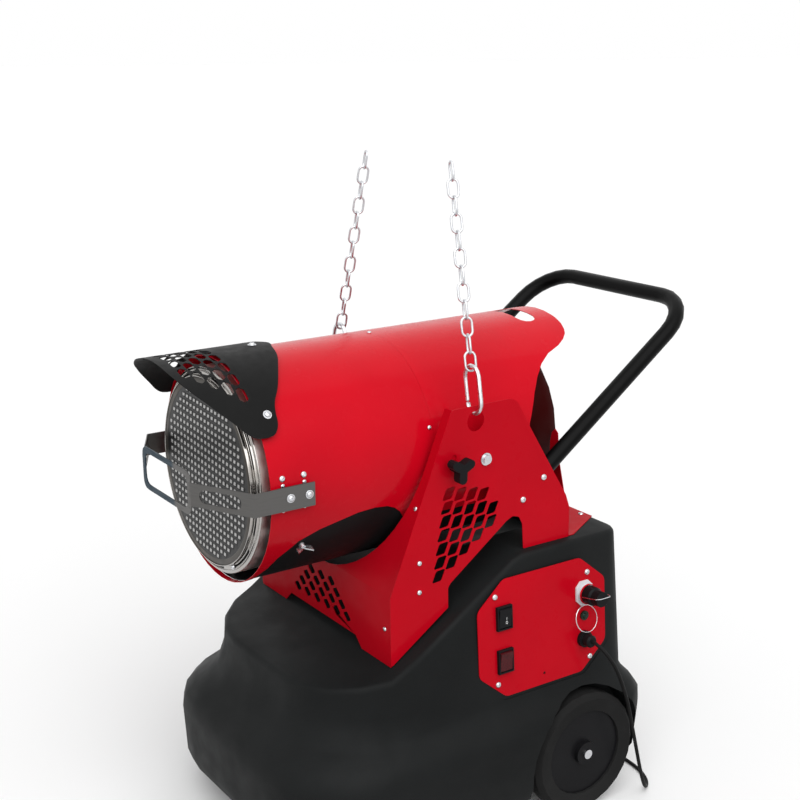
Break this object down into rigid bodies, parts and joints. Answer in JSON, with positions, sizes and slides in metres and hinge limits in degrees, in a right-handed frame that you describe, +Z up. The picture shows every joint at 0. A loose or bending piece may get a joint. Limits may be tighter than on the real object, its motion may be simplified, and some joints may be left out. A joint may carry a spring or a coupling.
{
  "type": "infrared heater",
  "caption": "Oil-fired infrared heater: tilting burner barrel with visor and guard on a folded support over a wheeled tank with handle, control panel and lifting chains.",
  "frame": {"origin": "centre of the bounding box without the mains cord, on the floor under the wheels", "axes": "+X towards the control side, -Y towards the emitter, +Z up; longest extent without the cord is Z, to the chain ends"},
  "size_m": [0.6914, 1.0897, 1.2888],
  "materials": {
    "red_paint": "gloss",
    "black_paint": "satin",
    "tank_plastic": "satin, rotomoulded",
    "stainless": "polished",
    "guard_steel": "satin",
    "zinc": "bright zinc",
    "dark_plastic": "satin",
    "white_plastic": "satin",
    "red_lens": "gloss",
    "green_lens": "gloss",
    "rubber": "matte",
    "tyre_rubber": "matte"
  },
  "bodies": {
    "base": {"tank": "tank_plastic", "side_panel_right": "red_paint", "side_panel_left": "red_paint", "front_plate": "red_paint", "rear_foot_plate": "red_paint", "handle": "black_paint", "control_plate": "red_paint", "control_box": "dark_plastic", "ignition_board": "guard_steel", "switch_housing_upper": "dark_plastic", "switch_housing_lower": "dark_plastic", "thermostat_socket": "white_plastic", "indicator_lamp": "green_lens", "cable_gland": "dark_plastic", "mains_cord": "rubber", "mains_coil": "rubber", "mains_plug": "rubber", "axle": "zinc", "front_skid": "black_paint", "pivot_bolt_right": "zinc", "pivot_bolt_left": "zinc"},
    "wheel_right": {"wheel_hub_right": "dark_plastic", "tyre_right": "tyre_rubber"},
    "wheel_left": {"wheel_hub_left": "dark_plastic", "tyre_left": "tyre_rubber"},
    "rocker_upper": {"switch_rocker_upper": "dark_plastic"},
    "rocker_lower": {"switch_rocker_lower": "red_lens"},
    "thermostat_plug": {"thermostat_plug": "dark_plastic", "plug_bail": "zinc"},
    "lanyard_ring": {"lanyard_ring": "zinc"},
    "filler_cap": {"filler_cap": "dark_plastic"},
    "burner": {"front_shell": "red_paint", "rear_hood": "red_paint", "under_shell": "black_paint", "visor": "black_paint", "inner_can": "stainless", "emitter_ring": "stainless", "emitter_disc": "stainless", "guard": "guard_steel", "guard_bracket_right": "guard_steel", "guard_bracket_left": "guard_steel", "rear_drum": "red_paint", "fan_motor": "dark_plastic", "burner_head": "guard_steel", "combustion_cone": "stainless", "trunnion_right": "red_paint", "trunnion_left": "red_paint"},
    "fan": {"fan_impeller": "guard_steel"},
    "lock_knob_right": {"lock_knob_right": "dark_plastic"},
    "lock_knob_left": {"lock_knob_left": "dark_plastic"},
    "wing_screw_right": {"wing_screw_right": "zinc"},
    "wing_screw_left": {"wing_screw_left": "zinc"},
    "carabiner_right": {"carabiner_right": "zinc"},
    "carabiner_left": {"carabiner_left": "zinc"},
    "gate_right": {"carabiner_gate_right": "zinc"},
    "gate_left": {"carabiner_gate_left": "zinc"},
    "chain_right": {"chain_right": "zinc"},
    "chain_left": {"chain_left": "zinc"}
  },
  "joints": [
    {"name": "burner_tilt", "type": "hinge", "parent": "base", "child": "burner", "pos_m": [-0.008, -0.0048, 0.755], "axis": [-1, 0, 0], "range_deg": [0, 12]},
    {"name": "wheel_right_roll", "type": "hinge", "parent": "base", "child": "wheel_right", "pos_m": [-0.008, 0.1947, 0.125], "axis": [1, 0, 0], "continuous": true},
    {"name": "wheel_left_roll", "type": "hinge", "parent": "base", "child": "wheel_left", "pos_m": [-0.008, 0.1947, 0.125], "axis": [1, 0, 0], "continuous": true},
    {"name": "rocker_upper_throw", "type": "hinge", "parent": "base", "child": "rocker_upper", "pos_m": [0.27265, 0.0099, 0.45137], "axis": [0, -1, 0], "range_deg": [0, 12]},
    {"name": "rocker_lower_throw", "type": "hinge", "parent": "base", "child": "rocker_lower", "pos_m": [0.27775, 0.0099, 0.36552], "axis": [0, -1, 0], "range_deg": [0, 12]},
    {"name": "thermostat_plug_pull", "type": "slide", "parent": "base", "child": "thermostat_plug", "axis": [0.9982, 0, 0.0593], "range_m": [0, 0.04]},
    {"name": "lanyard_ring_swing", "type": "hinge", "parent": "base", "child": "lanyard_ring", "pos_m": [0.27755, 0.2069, 0.42801], "axis": [0, -1, 0], "range_deg": [0, 50]},
    {"name": "filler_cap_lift", "type": "slide", "parent": "base", "child": "filler_cap", "axis": [-0.8192, 0, 0.5736], "range_m": [0, 0.08]},
    {"name": "fan_spin", "type": "hinge", "parent": "burner", "child": "fan", "pos_m": [-0.008, 0.0377, 0.7515], "axis": [0, 1, 0], "continuous": true},
    {"name": "lock_knob_right_turn", "type": "hinge", "parent": "burner", "child": "lock_knob_right", "pos_m": [0.247, -0.0773, 0.755], "axis": [1, 0, 0], "continuous": true},
    {"name": "wing_screw_right_turn", "type": "hinge", "parent": "burner", "child": "wing_screw_right", "pos_m": [0.17115, -0.3581, 0.64681], "axis": [0.8634, 0, -0.5045], "continuous": true},
    {"name": "carabiner_right_swing", "type": "hinge", "parent": "base", "child": "carabiner_right", "pos_m": [0.23625, -0.0278, 0.8446], "axis": [1, 0, 0], "range_deg": [-20, 20]},
    {"name": "gate_right_open", "type": "hinge", "parent": "carabiner_right", "child": "gate_right", "pos_m": [0.21198, -0.02707, 0.86046], "axis": [0, 0.9989, -0.046], "range_deg": [0, 20], "stiffness_Nm_per_rad": 0.02},
    {"name": "chain_right_swing", "type": "hinge", "parent": "carabiner_right", "child": "chain_right", "pos_m": [0.21637, -0.02391, 0.92921], "axis": [0, 0.9989, -0.046], "range_deg": [-15, 15]},
    {"name": "lock_knob_left_turn", "type": "hinge", "parent": "burner", "child": "lock_knob_left", "pos_m": [-0.263, -0.0773, 0.755], "axis": [-1, 0, 0], "continuous": true},
    {"name": "wing_screw_left_turn", "type": "hinge", "parent": "burner", "child": "wing_screw_left", "pos_m": [-0.18715, -0.3581, 0.64681], "axis": [-0.8634, 0, -0.5045], "continuous": true},
    {"name": "carabiner_left_swing", "type": "hinge", "parent": "base", "child": "carabiner_left", "pos_m": [-0.25225, -0.0278, 0.8446], "axis": [1, 0, 0], "range_deg": [-20, 20]},
    {"name": "gate_left_open", "type": "hinge", "parent": "carabiner_left", "child": "gate_left", "pos_m": [-0.22798, -0.02707, 0.86046], "axis": [0, -0.9989, 0.046], "range_deg": [0, 20], "stiffness_Nm_per_rad": 0.02},
    {"name": "chain_left_swing", "type": "hinge", "parent": "carabiner_left", "child": "chain_left", "pos_m": [-0.23237, -0.02391, 0.92921], "axis": [0, -0.9989, 0.046], "range_deg": [-15, 15]}
  ]
}
